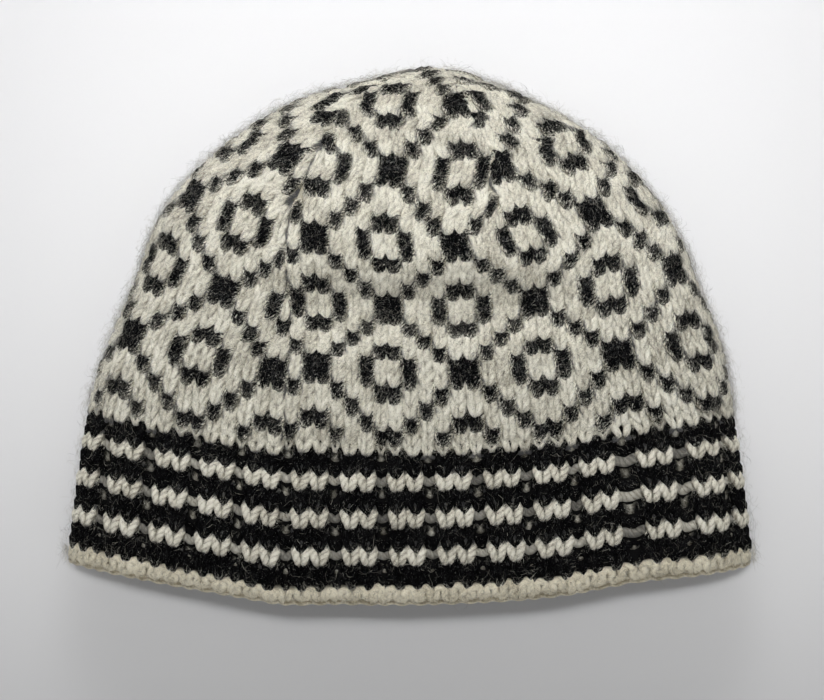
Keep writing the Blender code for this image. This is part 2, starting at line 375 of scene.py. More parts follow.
STITCH_DRIFT = np.array((   # in hundredths of a stitch
    (  0, -10,  -2,  10,   9,  11,  26,  37,  17,  17,  20,  14,  27,  38,   0),
    (  0, -37, -14,  27,  28,  11,   8,  14,   6,   3,   5,   7,   5,  65,   0),
    (  0, -48, -39,   4,  30,  39,  37,  21,  -7,  -2,  10,  13, -15,  49,   0),
    (  0, -38, -25,  14,  42,  53,  47,  27,  -6,   0,  11,   8, -19,  29,   0),
    (  0, -22,  -8,  17,  40,  52,  49,  37,  20,  17,  22,  19,  -6,  17,   0),
    (  0,  -4,  12,  30,  40,  46,  48,  52,  44,  36,  35,  34,  23,  16,   0),
    (  0,  15,  25,  34,  42,  44,  44,  41,  37,  35,  32,  22,  15,  14,   0),
    (  0,  40,  49,  54,  54,  50,  46,  44,  47,  37,  19,  -1, -23, -16,   0),
)) / 100


def drifted(table, row, stitch):
    """Value of a drift table at a row and a stitch: a bilinear look-up, in stitches
    counted from the start line, to the right or to the left."""
    row, stitch = np.broadcast_arrays(row, stitch)
    signed = (stitch + STITCHES / 2) % STITCHES - STITCHES / 2
    v = np.interp(row - FIRST_CROWN_ROW, DRIFT_ROWS, np.arange(len(DRIFT_ROWS)))
    u = np.interp(signed, DRIFT_STITCHES, np.arange(len(DRIFT_STITCHES)))
    i = np.minimum(v.astype(int), len(DRIFT_ROWS) - 2)
    j = np.minimum(u.astype(int), len(DRIFT_STITCHES) - 2)
    dv, du = v - i, u - j
    below = table[i, j] * (1 - du) + table[i, j + 1] * du
    above = table[i + 1, j] * (1 - du) + table[i + 1, j + 1] * du
    return below * (1 - dv) + above * dv


lean = drifted(ROW_DRIFT, np.array([12.0]), np.array([78.0]))[0]
print("rows near the left fold lie", round(lean, 2), "rows higher")


# %% Any place on the knitting
def on_fabric(row, stitch, lift, column=None):
    """Place and normal for a row and a stitch of the hat as it lies. The row's level takes
    the drift of the rows and the step at the start line. A yarn that bulges out of its own
    column keeps that column's step, so it isn't torn at the start line."""
    own = stitch if column is None else np.clip(stitch, column + 0.01, column + 0.99)
    level = row + drifted(ROW_DRIFT, row, stitch)
    aside = drifted(STITCH_DRIFT, row, stitch) * np.interp(level, fine_rows, full_stitch)
    fabric = fabric_of_row(level + row_step(row, own))
    return on_hat(fabric, share_of_stitch(level, stitch) + aside, lift)


example = on_fabric(np.array([20.0]), np.array([8.0]), np.zeros(1))[0]
print("row 20, stitch 8 lies at", np.round(example, 3))

# %% [markdown]
# ## The charted pattern
# Stranded knitting reads a small chart: one square is one stitch, and the ten columns
# repeat round the hat. Small rings and filled squares alternate, a traditional motif. The
# colours could be painted on afterwards, but here each stitch is knitted in its own wool,
# so the borders follow the loops. The chart is written out with the lowest row first and
# a hash for charcoal.

# %% The chart
CHART = (
    ". # . . # # . . # .",
    "# . . # . . # . . #",
    "# . . # . . # . . #",
    ". # . . # # . . # .",
    ". . # . . . . # . .",
    "# . . # . . # . . #",
    ". # . . # # . . # .",
    ". # . . # # . . # .",
    "# . . # . . # . . #",
    ". . # . . . . # . .",
)
chart = np.array([[square == "#" for square in line.split()] for line in CHART])
REPEAT = len(CHART)         # the chart is square
CHART_ROW_START = 6
RIGHT_START, LEFT_START = 8, 1
STRIPE = 3                  # the band's stripes repeat after three rows


def is_dark(row, stitch):
    """True where a stitch is charcoal. In the band, one cream row follows two charcoal
    ones. In the crown the chart is read to the right from the start line as far as the
    middle of the back, and to the left of the line with its own offset."""
    crown_row = row - FIRST_CROWN_ROW
    left = stitch >= STITCHES // 2
    column = np.where(left, LEFT_START + stitch - STITCHES, RIGHT_START + stitch) % REPEAT
    charted = chart[(crown_row + CHART_ROW_START) % REPEAT, column] & (crown_row > 0)
    striped = (row % STRIPE != 0) & (row > 0)
    return np.where(row >= FIRST_CROWN_ROW, charted, striped)


rows_index, stitch_index = np.meshgrid(np.arange(ROWS), np.arange(STITCHES), indexing="ij")
dark = is_dark(rows_index, stitch_index)
knitted = weights[(rows_index + 1) * FINE, stitch_index] > LEAST_STITCH
print("stitches:", int(knitted.sum()), "of which charcoal:", int((dark & knitted).sum()))

# %% [markdown]
# ## A stitch
# A knit stitch is one wave of yarn. It starts behind the fabric, swings up and outwards in
# front, turns behind again at its head, and comes down the same way on the other side.
# A curve with a bevel could draw it, but thousands of curves are slow. Three waves of one
# angle give that path for all stitches at once, and a round section carried along it gives
# the yarn. A purl stitch is the same wave seen from behind, so its depth changes sign.

# %% The loops of this hat
LOOP_COLUMNS = (
    "bulge", "reach", "raised", "depth", "shingle", "across", "through",
    "taper", "furrow", "trim", "aside",
)
LOOPS = (
    (0.235, 1.02, 0.00, 0.00105, 0.00065, 0.00154, 0.00120, 0.38, 0.0, 0, 0),        # knit, crown
    (0.215, 0.95, -0.05, 0.00110, 0.00030, 0.00172, 0.00130, 0.34, 0.0016, 0, 0),    # knit, band
    (0.030, -0.12, -0.02, -0.00020, 0.0000, 0.00180, 0.00100, 0.00, 0.0026, 0, 0),   # purl
    (0.160, 0.50, -0.14, 0.00020, 0.00010, 0.00170, 0.00125, 0.00, 0.0004, 0, 0.5),  # cast-on edge
    (0.270, 1.05, 0.00, 0.00105, 0.00045, 0.00134, 0.00110, 0.55, 0.0016, 0, 0),     # dark, band
    (0.330, 0.85, 0.00, 0.00100, 0.00090, 0.00075, 0.00070, 0.10, 0.0, 0.75, 0),     # tucked under
)
LOOP = named(LOOP_COLUMNS, LOOPS)
KNIT_CROWN, KNIT_BAND, PURL, CAST_ON, KNIT_BAND_CHARCOAL, TUCKED = range(len(LOOPS))
print("widest yarn (mm):", round(LOOP["across"].max() * 2000, 1))

# %% Which loop each stitch is
loop_kind = np.full((ROWS, STITCHES), KNIT_CROWN)
loop_kind[:FIRST_CROWN_ROW] = np.where(np.arange(STITCHES) % RIB == 0, PURL, KNIT_BAND)
loop_kind[1] = KNIT_BAND    # the cast-on pulls the first round flat, so no purls show
loop_kind[(loop_kind == KNIT_BAND) & dark] = KNIT_BAND_CHARCOAL
loop_kind[0] = CAST_ON
crown_rows = rows_index >= FIRST_CROWN_ROW
tucked = np.zeros((ROWS, STITCHES), bool)
tucked[FIRST_CROWN_ROW] = dark[FIRST_CROWN_ROW + 1]
loop_kind[tucked] = TUCKED
print("loops of each kind:", np.bincount(loop_kind[knitted]))

# %% Uneven stitches, and ribs
SEED = 11
random = np.random.default_rng(SEED)
RIB_TOP, RIB_ROOT, LEAST_RIB = FIRST_CROWN_ROW - 0.2, 2.4, 0.1      # in rows, and a share
PURL_HOLLOW = 0.60          # half width of the hollow at a purl, in stitches


def wander(size, *shape):
    """Small differences from stitch to stitch, evenly spread about nothing."""
    return size * random.uniform(-1, 1, (*shape, 1))


def ribbing(row, stitch):
    """How strongly the fabric pulls into ribs, times how near a purl's middle is: 1 at the
    middle, falling as a bell curve to the knits. The ribs grow from the cast-on edge."""
    ribbed = np.clip(RIB_TOP - row, 0, 1) * np.clip(row / RIB_ROOT, LEAST_RIB, 1)
    away = (stitch - 0.5 + RIB / 2) % RIB - RIB / 2
    return ribbed * np.exp(-(away / PURL_HOLLOW) ** 2)


halfway = ribbing(6.0, np.array([0.5, 1.5]))
print("ribs halfway up the band, at a purl and at a knit:", np.round(halfway, 2))

# %% The path of the yarn through its stitches
PROUD, PROUD_FADE = 0.0004, 8       # charcoal stands out in the crown, cream in the band
SHINGLE_PEAK = 2.6          # cos t sin t squared is never more than 1 / 2.6
UNEVEN_BULGE, UNEVEN_REACH, UNEVEN_PLACE, UNEVEN_HEIGHT, UNEVEN_LEAN = 0.03, 0.05, 0.04, 0.05, 0.06
UNEVEN_DEPTH, UNEVEN_EDGE = 0.00018, 3.0


def yarn_path(row, stitch, segments):
    """Middle line of the yarn in each given stitch, with its angles, with the wall's
    normals and with the rows and stitches that it passes.

    For an angle t from 0 to a full turn, less the trim at both ends: across = aside + t /
    turn + bulge sin 2t, up = raised - reach cos t, and depth = -depth cos 2t + shingle cos
    t sin t squared, which lays the foot of each V over the row below. A purl has the
    opposite depth. Each stitch differs a little, and the cast-on loops differ most."""
    count = len(row)
    loop = {name: values[loop_kind[row, stitch]][:, None] for name, values in LOOP.items()}
    t = loop["trim"] + (2 * np.pi - 2 * loop["trim"]) * np.linspace(0, 1, segments + 1)[None]
    bulge = loop["bulge"] + wander(UNEVEN_BULGE, count)
    edge_reach = np.where(row == 0, UNEVEN_EDGE, 1.0)[:, None]
    reach = loop["reach"] + wander(UNEVEN_REACH, count) * edge_reach
    across = t / (2 * np.pi) + bulge * np.sin(2 * t) + wander(UNEVEN_PLACE, count)
    up = loop["raised"] - reach * np.cos(t) + wander(UNEVEN_HEIGHT, count)
    up = up + wander(UNEVEN_LEAN, count) * np.sin(t)
    shingle = SHINGLE_PEAK * loop["shingle"] * np.cos(t) * np.sin(t) ** 2
    depth = shingle - loop["depth"] * np.cos(2 * t) + wander(UNEVEN_DEPTH, count)
    at_stitch = stitch[:, None] + loop["aside"] + across
    at_row = row[:, None] + up
    lift = depth - loop["furrow"] * ribbing(row[:, None], at_stitch)
    fade = 1 - np.cos(2 * np.pi * share_of_stitch(at_row, at_stitch)) ** PROUD_FADE
    lift = lift + PROUD * fade * (dark == crown_rows)[row, stitch][:, None]
    place, normal = on_fabric(at_row, at_stitch, lift, stitch[:, None])
    return t, place, normal, at_row, at_stitch


print("places differ by up to", UNEVEN_PLACE, "of a stitch and", UNEVEN_HEIGHT, "of a row")

# %% [markdown]
# ## From a path to wool
# Yarn is round, soft and heavy enough to lie flat. Where the hat rests, its stitches are
# pressed on the board. Cutting them off there would leave holes, so their places are
# squeezed instead. A ring of points carried along each path then makes the round yarn.

# %% Pressed on the board
PRESSED_WOOL = 0.0009


def pressed(points):
    """Wool that would reach below the board spreads on it instead: z becomes half of z plus
    the root of z squared plus a small length squared, which never falls below nothing."""
    z = points[..., 2]
    flat = (z + np.sqrt(z ** 2 + PRESSED_WOOL ** 2)) / 2
    return np.concatenate([points[..., :2], flat[..., None]], axis=-1)


print("a point at the board's level rises to", pressed(np.zeros((1, 3)))[0, 2] * 1000, "mm")


# %% A round section carried along the path
def carried_round(path, normal, across, through, sides):
    """Closed tubes: at each point of a path, a ring of points at the given half widths
    across the fabric and through it. The ring stands square to the path, the wall's
    normal keeps it from twisting, and it starts on the inner side, out of sight."""
    along = np.gradient(path, axis=1)
    along /= np.linalg.norm(along, axis=2, keepdims=True)
    side = np.cross(along, normal)
    side /= np.linalg.norm(side, axis=2, keepdims=True)
    out = np.cross(side, along)
    angle = ((np.arange(sides) / sides - 0.25) * 2 * np.pi)[None, None, :, None]
    ring = np.cos(angle) * across * side[:, :, None] + np.sin(angle) * through * out[:, :, None]
    return path[:, :, None] + ring


def tube_faces(count, rings, sides):
    """Quads between neighbouring rings of each tube, and a cap at both ends."""
    k = np.arange(sides)
    after = (k + 1) % sides
    start = (np.arange(count) * rings * sides)[:, None, None]
    ring = start + (np.arange(rings - 1) * sides)[None, :, None]
    quads = np.stack([ring + k, ring + sides + k, ring + sides + after, ring + after], axis=-1)
    first = start[:, 0] + k
    last = start[:, 0] + (rings - 1) * sides + k[::-1]
    return quads.reshape(-1, 4), np.concatenate([first, last])


print("a tube of 13 rings with 6 sides has", len(tube_faces(1, 13, 6)[0]), "quads and 2 caps")

# %% From arrays to a mesh
collection = bpy.data.collections.new("beanie")
bpy.context.scene.collection.children.link(collection)
print("collection:", collection.name)


def add_mesh(name, points, face_groups, uv=None, values=None):
    """A mesh object from whole arrays: points, groups of faces with equal corner counts,
    a place on the yarn for each corner, and named values for each point."""
    mesh = bpy.data.meshes.new(name)
    sizes = np.concatenate([np.full(len(group), group.shape[1]) for group in face_groups])
    corners = np.concatenate([group.ravel() for group in face_groups])
    mesh.vertices.add(len(points))
    mesh.vertices.foreach_set("co", points.astype(np.float32).ravel())
    mesh.loops.add(len(corners))
    mesh.loops.foreach_set("vertex_index", corners.astype(np.int32))
    mesh.polygons.add(len(sizes))
    mesh.polygons.foreach_set("loop_start", (np.cumsum(sizes) - sizes).astype(np.int32))
    mesh.update(calc_edges=True)
    mesh.shade_smooth()
    if uv is not None:
        mesh.uv_layers.new(name="yarn").data.foreach_set("uv", uv.astype(np.float32).ravel())
    for key, value in (values or {}).items():
        field = mesh.attributes.new(key, "FLOAT", "POINT")
        field.data.foreach_set("value", value.astype(np.float32))
    piece = bpy.data.objects.new(name, mesh)
    collection.objects.link(piece)
    print(f"{name}: {int((sizes - 2).sum())} triangles")
    return piece


# %% [markdown]
# ## Two wools that mingle
# On the real hat no border is sharp: fibres of one wool have felted into the other. Fuzz
# alone would have to be very thick to do this. So each point of the yarn learns from the
# chart how much of the other wool lies about it, and the finish lays fibres there.

# %% Charcoal about a place
ROW_BELL, STITCH_BELL = 0.6, 0.5        # how far a square's wool reaches, in rows and stitches


def nearby_dark(row, stitch):
    """How much of the fabric about a place is charcoal, from 0 to 1: the nine nearest
    squares of the chart, weighted by a bell curve of how far their middles are."""
    near_row, near_stitch = np.round(row), np.floor(stitch)
    amount, total = 0, 0
    for up in (-1, 0, 1):
        for across in (-1, 0, 1):
            square_row = np.clip(near_row + up, 0, ROWS - 1).astype(int)
            square_stitch = (near_stitch + across).astype(int)
            up_away = (row - square_row) / ROW_BELL
            across_away = (stitch - square_stitch - 0.5) / STITCH_BELL
            weight = np.exp(-(up_away ** 2 + across_away ** 2))
            amount = amount + weight * dark[square_row, square_stitch % STITCHES]
            total = total + weight
    return amount / total


share_there = nearby_dark(np.array(17.5), np.array(5.5))
print("charcoal about the middle of a ring's side:", round(float(share_there), 2))

# %% The yarn's own map
PLY_PITCH = 0.0110          # length over which the plies turn once


def yarn_uv(walked, sides):
    """Place on the yarn for each corner of each quad: how far along, in turns of the ply,
    and how far round."""
    here, there = walked[:, :-1, None], walked[:, 1:, None]
    shape = len(walked), walked.shape[1] - 1, sides
    k = np.broadcast_to(np.arange(sides)[None, None] / sides, shape)
    here, there = np.broadcast_to(here, shape), np.broadcast_to(there, shape)
    corners = [(here, k), (there, k), (there, k + 1 / sides), (here, k + 1 / sides)]
    return np.stack([np.stack(corner, axis=-1) for corner in corners], axis=-2).reshape(-1, 2)


print("one turn of the plies takes", PLY_PITCH * 1000, "mm")

# %% The other wool, and the veil on the purls
STITCH_SIZE = 0.0050        # a stitch's width and height, on average
RUBBED = 0.30               # how much more the two wools mingle where the folds rub
ROW_BLEED = 0.65            # fibres stray less from row to row than within one
PURL_BLEED, TUCKED_BLEED = 0.1, 0.26
# On cream purls the veil is partly painted shade, as they lie deep in the ribs' furrows.
CREAM_VEIL_AND_SHADE, CHARCOAL_VEIL, VEIL_WIDTH, UNEVEN_VEIL = 0.58, 0.40, 0.20, 0.5


def other_wool(row, stitch, at_row, at_stitch, across, sides, upright):
    """How much wool of the other colour lies about each point of the tubes. A point of the
    tube stands beside the path by the cosine of its angle times the half width, square to
    the path's direction in rows and stitches. Where the wall stands upright, at the folds,
    the wools are felted into each other. The veil is wool of the other colour drawn over a
    purl: over a whole cream one, and as a bell over the middle of a charcoal one, in the
    one row of each stripe where cream lies above it. On a cream purl, deep in the rib's
    furrow, the charcoal veil is partly real dark fibres and partly painted shade."""
    direction = np.stack([np.gradient(at_stitch, axis=1), np.gradient(at_row, axis=1)], axis=-1)
    direction /= np.linalg.norm(direction, axis=-1, keepdims=True)
    angle = (np.arange(sides) / sides - 0.25) * 2 * np.pi
    beside = np.cos(angle) * across[..., 0] / STITCH_SIZE
    point_stitch = at_stitch[:, :, None] + beside * direction[:, :, 1:]
    point_row = at_row[:, :, None] - beside * direction[:, :, :1]
    point_row = row[:, None, None] + ROW_BLEED * (point_row - row[:, None, None])
    amount = nearby_dark(point_row, point_stitch)
    other = np.abs(dark[row, stitch][:, None, None] - amount)
    purl, charcoal = loop_kind[row, stitch] == PURL, dark[row, stitch]
    other = np.where(purl[:, None, None], PURL_BLEED, other)
    rubbed = RUBBED * upright[..., None] ** 3 * crown_rows[row, stitch][:, None, None]
    least = np.where(tucked[row, stitch], TUCKED_BLEED, 0.0)[:, None, None]
    other = np.maximum(other, least) + rubbed
    wide = weights[(row + 1) * FINE, stitch][:, None, None] / PURL_WIDTH
    from_middle = (point_stitch - stitch[:, None, None] - 0.5) * wide
    bell = np.exp(-(from_middle / VEIL_WIDTH) ** 2)
    charcoal_veil = np.where(row % STRIPE == STRIPE - 1, CHARCOAL_VEIL, 0.0)
    veil = np.where(purl, np.where(charcoal, charcoal_veil, CREAM_VEIL_AND_SHADE), 0.0)
    veil = veil * (1 + wander(UNEVEN_VEIL, len(row))[:, 0])
    return other.ravel(), (veil[:, None, None] * np.where(charcoal[:, None, None], bell, 1)).ravel()


print("veil on cream and on charcoal purls:", CREAM_VEIL_AND_SHADE, CHARCOAL_VEIL)

# %% Stitches of one colour as one piece
UNEVEN_WIDTH = 0.06
STOUT = 1.18                # charcoal spreads wider in the crown
SLENDEREST = 0.6            # yarn gets no thinner than this where a column ends


def stitch_piece(name, chosen, segments, sides):
    """Every chosen stitch as a closed length of yarn, thinner at both ends, where it turns
    behind the fabric: its width is 1 - taper cos (t / 2) to the fourth. Each point also
    knows how much wool of the other colour lies about it."""
    row, stitch = rows_index[chosen], stitch_index[chosen]
    t, path, normal, at_row, at_stitch = yarn_path(row, stitch, segments)
    count = len(row)
    kind = loop_kind[row, stitch]
    width = 1 - LOOP["taper"][kind][:, None] * np.cos(t / 2) ** 4
    width = width * (1 + wander(UNEVEN_WIDTH, count))
    width = width * np.where((dark & crown_rows)[row, stitch], STOUT, 1.0)[:, None]
    narrowed = np.clip(weights[(row + 1) * FINE, stitch], SLENDEREST, 1.0)[:, None]
    across = (width * narrowed * LOOP["across"][kind][:, None])[:, :, None, None]
    through = (width * LOOP["through"][kind][:, None])[:, :, None, None]
    points = pressed(carried_round(path, normal, across, through, sides))
    quads, caps = tube_faces(count, segments + 1, sides)
    steps = np.linalg.norm(np.diff(path, axis=1), axis=2)
    walked = np.pad(np.cumsum(steps, axis=1), ((0, 0), (1, 0))) / PLY_PITCH
    uv = yarn_uv(walked + random.uniform(0, 50, (count, 1)), sides)
    uv = np.concatenate([uv, np.zeros((caps.size, 2))])
    upright = 1 - np.abs(normal[..., 2])
    other, veil = other_wool(row, stitch, at_row, at_stitch, across, sides, upright)
    shade = np.repeat(random.uniform(0, 1, count), (segments + 1) * sides)
    values = {"stitch": shade, "other": other, "veil": veil}
    return add_mesh(name, points.reshape(-1, 3), [quads, caps], uv, values)


# %% Which stitches can be seen from above
PAST_FOLDS = 0.035          # the front's detail goes this share of the round past each fold
middle_share = share_of_stitch(rows_index.astype(float), stitch_index + 0.5) % 1
seen = (middle_share < 0.5 + PAST_FOLDS) | (middle_share > 1 - PAST_FOLDS)
FRONT_DETAIL, BACK_DETAIL = (12, 6), (9, 5)
crown = knitted & (rows_index >= FIRST_CROWN_ROW)
band = (rows_index > 0) & (rows_index < FIRST_CROWN_ROW)
edge = rows_index == 0
print("seen from above:", int((seen & knitted).sum()), "stitches")

# %% The stitches of the crown, the band and the edge
STITCH_PIECES = (
    ("crown_cream_front", crown & ~dark & seen, FRONT_DETAIL),
    ("crown_charcoal_front", crown & dark & seen, FRONT_DETAIL),
    ("crown_cream_back", crown & ~dark & ~seen, BACK_DETAIL),
    ("crown_charcoal_back", crown & dark & ~seen, BACK_DETAIL),
    ("band_cream", band & ~dark, FRONT_DETAIL),
    ("band_charcoal", band & dark, FRONT_DETAIL),
    ("edge_stitches", edge, FRONT_DETAIL),
)
pieces = {name: stitch_piece(name, chosen, *detail) for name, chosen, detail in STITCH_PIECES}

# %% [markdown]
# ## The rim
# Casting on leaves one more strand, which runs along the rim and holds the first loops. A
# curve with a bevel would do, but as a tube on the same wall it follows the sagging rows
# and carries the yarn's own map. It waves a little, once for each loop that it holds.

# %% The strand along the rim
RIM_ROW, RIM_LIFT, RIM_RADIUS = -1.10, -0.0004, 0.00125
RIM_SEGMENTS, RIM_SIDES = 540, 8
RIM_WAVE, RIM_WAVE_DEPTH = 0.12, 0.0003     # in rows, and in metres


def rim_strand():
    """One yarn round the rim, with a small wave for each stitch: row = rim row + wave sin
    of a turn for each stitch, and out = lift + wave depth times cos of the same."""
    share = np.arange(RIM_SEGMENTS) / RIM_SEGMENTS
    turn = 2 * np.pi * share * STITCHES
    row = RIM_ROW + RIM_WAVE * np.sin(turn)
    level = row + drifted(ROW_DRIFT, row, share * STITCHES)
    lift = RIM_LIFT + RIM_WAVE_DEPTH * np.cos(turn)
    path, normal = on_hat(fabric_of_row(level), share_of_stitch(level, share * STITCHES), lift)
    path, normal = path[None], normal[None]
    along = np.roll(path, -1, axis=1) - np.roll(path, 1, axis=1)
    along /= np.linalg.norm(along, axis=2, keepdims=True)
    side = np.cross(along, normal)
    side /= np.linalg.norm(side, axis=2, keepdims=True)
    angle = (np.arange(RIM_SIDES) / RIM_SIDES * 2 * np.pi)[:, None]
    ring = np.cos(angle) * side[0][:, None] + np.sin(angle) * np.cross(side, along)[0][:, None]
    points = pressed(path[0][:, None] + RIM_RADIUS * ring)
    start = (np.arange(RIM_SEGMENTS) * RIM_SIDES)[:, None]
    following = np.roll(start, -1, axis=0)
    k = np.arange(RIM_SIDES)[None]
    after = (k + 1) % RIM_SIDES
    quads = np.stack([start + k, following + k, following + after, start + after], axis=-1)
    steps = np.linalg.norm(np.roll(path[0], -1, axis=0) - path[0], axis=1)
    walked = np.concatenate([[0], np.cumsum(steps)])[None] / PLY_PITCH
    count = RIM_SEGMENTS * RIM_SIDES
    values = {"stitch": np.full(count, 0.5), "other": np.zeros(count), "veil": np.zeros(count)}
    uv = yarn_uv(walked, RIM_SIDES)
    return add_mesh("rim_strand", points.reshape(-1, 3), [quads.reshape(-1, 4)], uv, values)


pieces["rim_strand"] = rim_strand()

# %% [markdown]
# ## The cloth between the stitches
# Real stitches are felted together, so no light comes through the fabric. More fibres
# between the loops would be slow, so a thin closed sheet in the middle of the wall does
# that work. It takes the chart's colours, darkened, and is charcoal all through the band, so
# what shows between two stitches carries painted shade.

# %% The backing cloth
BACKING_LIFT, BACKING_THICKNESS, BACKING_FURROW = -0.0002, 0.0009, 0.0024
BACKING_START, BACKING_ROWS, BACKING_SHARES = -0.35, 72, 135


def backing_cloth():
    """Two skins, one a little inside the other, from the edge row to the tip: rings of
    points at even stitches, joined at the rim and closed by a point at the tip."""
    row = np.linspace(BACKING_START, ROWS + BACKING_START, BACKING_ROWS)[:, None]
    stitch = (np.arange(BACKING_SHARES) / BACKING_SHARES * STITCHES)[None]
    row, stitch = np.broadcast_arrays(row, stitch)
    furrow = BACKING_FURROW * ribbing(row, stitch)
    outer, _ = on_fabric(row, stitch, BACKING_LIFT - furrow)
    inner, _ = on_fabric(row, stitch, BACKING_LIFT - BACKING_THICKNESS - furrow)
    nearest = np.clip(np.round(row).astype(int), 0, ROWS - 1), stitch.astype(int) % STITCHES
    # In the band the cloth is charcoal under the cream rows as well, which paints shade into the
    # gaps between their stitches.
    in_band = (nearest[0] > 0) & (nearest[0] <= FIRST_CROWN_ROW)
    colour = (is_dark(*nearest) | in_band).astype(float)
    rings = np.concatenate([outer, inner[::-1]])
    count = len(rings)
    start = (np.arange(count) * BACKING_SHARES)[:, None]
    following = (np.roll(np.arange(count), -1) * BACKING_SHARES)[:, None]
    k = np.arange(BACKING_SHARES)[None]
    after = (k + 1) % BACKING_SHARES
    quads = np.stack([start + k, start + after, following + after, following + k], axis=-1)
    caps = np.array([BACKING_ROWS - 1, BACKING_ROWS])
    quads = np.delete(quads, BACKING_ROWS - 1, axis=0).reshape(-1, 4)
    tips = rings[caps].mean(axis=1)
    last, first = caps[0] * BACKING_SHARES + k[0], caps[1] * BACKING_SHARES + k[0]
    outer_pole = np.full_like(last, count * BACKING_SHARES)
    outer_fan = np.stack([last, last[after[0]], outer_pole], axis=-1)
    inner_fan = np.stack([first[after[0]], first, outer_pole + 1], axis=-1)
    points = np.concatenate([rings.reshape(-1, 3), tips])
    values = np.concatenate([colour.ravel(), colour[::-1].ravel(), [0, 0]])
    return add_mesh("backing_cloth", points, [quads, outer_fan, inner_fan], None, {"dark": values})


pieces["backing_cloth"] = backing_cloth()

# %% [markdown]
# ## Fuzz
# Wool is never smooth. Short fibres stand out of the yarn all over the hat, and make the
# soft light rim along its outline. Hair particles would draw them well, but they are no
# mesh, and don't last past the render. So each fibre is a thin spindle along a bent line.

# %% Places for the fibres
BACK_FUZZ = 0.35            # under the hat the fuzz is pressed flat, and little of it shows
BAND_FUZZ = 0.35            # the band is less worn than the crown, so it has less fuzz
BAND_FOOT = 0.8             # the row above which the band's fuzz starts
PLACES_TRIED, FOLD_TRIES = 12, 1.04     # for each fibre, and more where only folds count
FUZZ_DEPTHS, FUZZ_FURROW = (-0.0003, 0.0004), 0.0014
FUZZ_PAST_FOLDS = 0.04


def fibre_starts(count, wanted_dark, strays, at_folds, rows):
    """Random places on the knitted rows. A place counts as often as its column is wide,
    some strays of each wool lie on stitches of the other, and at_folds is how much more
    often a fibre stands where the fabric turns over, because the folds rub most."""
    tries = int(count * PLACES_TRIED / (FOLD_TRIES - at_folds) ** 0.5)
    row = random.uniform(*rows, tries)
    stitch = random.uniform(0, STITCHES, tries)
    nearest = np.clip(np.round(row).astype(int), 0, ROWS - 1), stitch.astype(int)
    kept = random.uniform(0, 1, tries) < weights[(nearest[0] + 1) * FINE, nearest[1]]
    kept &= (dark[nearest] == wanted_dark) | (random.uniform(0, 1, tries) < strays)
    lift = WALL / 2 + random.uniform(*FUZZ_DEPTHS, tries) - FUZZ_FURROW * ribbing(row, stitch)
    place, normal = on_fabric(row, stitch, lift)
    share = share_of_stitch(row, stitch) % 1
    above = (share < 0.5 + FUZZ_PAST_FOLDS) | (share > 1 - FUZZ_PAST_FOLDS)
    kept &= above | (random.uniform(0, 1, tries) < BACK_FUZZ)
    kept &= random.uniform(0, 1, tries) < 1 - at_folds * np.abs(normal[:, 2])
    in_band = (row < FIRST_CROWN_ROW) & (row > BAND_FOOT)
    kept &= random.uniform(0, 1, tries) < np.where(in_band, BAND_FUZZ, 1)
    print(int(kept.sum()), "places for", count, "fibres")
    return place[kept][:count], normal[kept][:count]


print("share of fuzz on the back and in the band:", BACK_FUZZ, BAND_FUZZ)


# %% Fibres
FIBRE_RADIUS = 0.000024
SHORTEST, LOWEST, LOW_ONES = 0.35, 0.05, 1.6    # shares of the length and stand, and a power
BEND, CURL, CURL_RATE = 0.5, 0.14, 5.5
RISES, FALLS = 2.2, 1.4     # times s and s squared: a fibre lifts off and comes down again


def spindle_faces(count, rings):
    """Faces of three-sided spindles: a fan at each tip, and quads between the rings."""
    start = (np.arange(count) * (3 * rings + 2))[:, None]
    k, after = np.arange(3), np.array([1, 2, 0])
    ring = start[:, :, None] + 1 + 3 * np.arange(rings - 1)[None, :, None]
    quads = np.stack([ring + k, ring + 3 + k, ring + 3 + after, ring + after], axis=-1)
    last = start + 1 + 3 * (rings - 1)
    tip = np.broadcast_to(start, (count, 3))
    fans = [np.stack([start + 1 + k, start + 1 + after, tip], axis=-1)]
    fans += [np.stack([last + after, last + k, tip + 3 * rings + 1], axis=-1)]
    return [quads.reshape(-1, 4), np.concatenate(fans).reshape(-1, 3)]


def fibres(name, place, normal, length, stand, points_along, radius):
    """Spindles with a point at both ends. Each runs in a random direction along the hat:
    place = start + direction s + sideways (bend s squared + a sine of s) + normal (2.2 s -
    1.4 s squared) times its stand, for s from 0 to 1 and directions as long as the fibre.
    Its width is the root of half a sine, so both ends are points."""
    count = len(place)
    direction = np.cross(normal, random.normal(0, 1, normal.shape))
    direction /= np.linalg.norm(direction, axis=1, keepdims=True)
    sideways = np.cross(normal, direction)
    reach = (length * random.uniform(SHORTEST, 1.0, (count, 1)))[:, None]
    rise = (stand * random.uniform(LOWEST, 1.0, (count, 1)) ** LOW_ONES)[:, None]
    bend = random.normal(0, BEND, (count, 1, 1))
    phase = random.uniform(0, 2 * np.pi, (count, 1, 1))
    s = np.linspace(0, 1, points_along)[None, :, None]
    curl = CURL * (np.sin(CURL_RATE * s + phase) - np.sin(phase))
    beside = sideways[:, None] * (bend * s ** 2 + curl)
    path = place[:, None] + reach * (direction[:, None] * s + beside)
    path = path + normal[:, None] * rise * (RISES * s - FALLS * s ** 2)
    width = (radius * np.sin(np.pi * s[..., 0]) ** 0.5)[..., None, None]
    out = np.broadcast_to(normal[:, None], path.shape)
    rings = carried_round(path, out, width, width, 3)[:, 1:-1].reshape(count, -1, 3)
    points = pressed(np.concatenate([path[:, :1], rings, path[:, -1:]], axis=1))
    return add_mesh(name, points.reshape(-1, 3), spindle_faces(count, points_along - 2))


print("a fibre is", FIBRE_RADIUS * 2e6, "micrometres thick, or a little more")

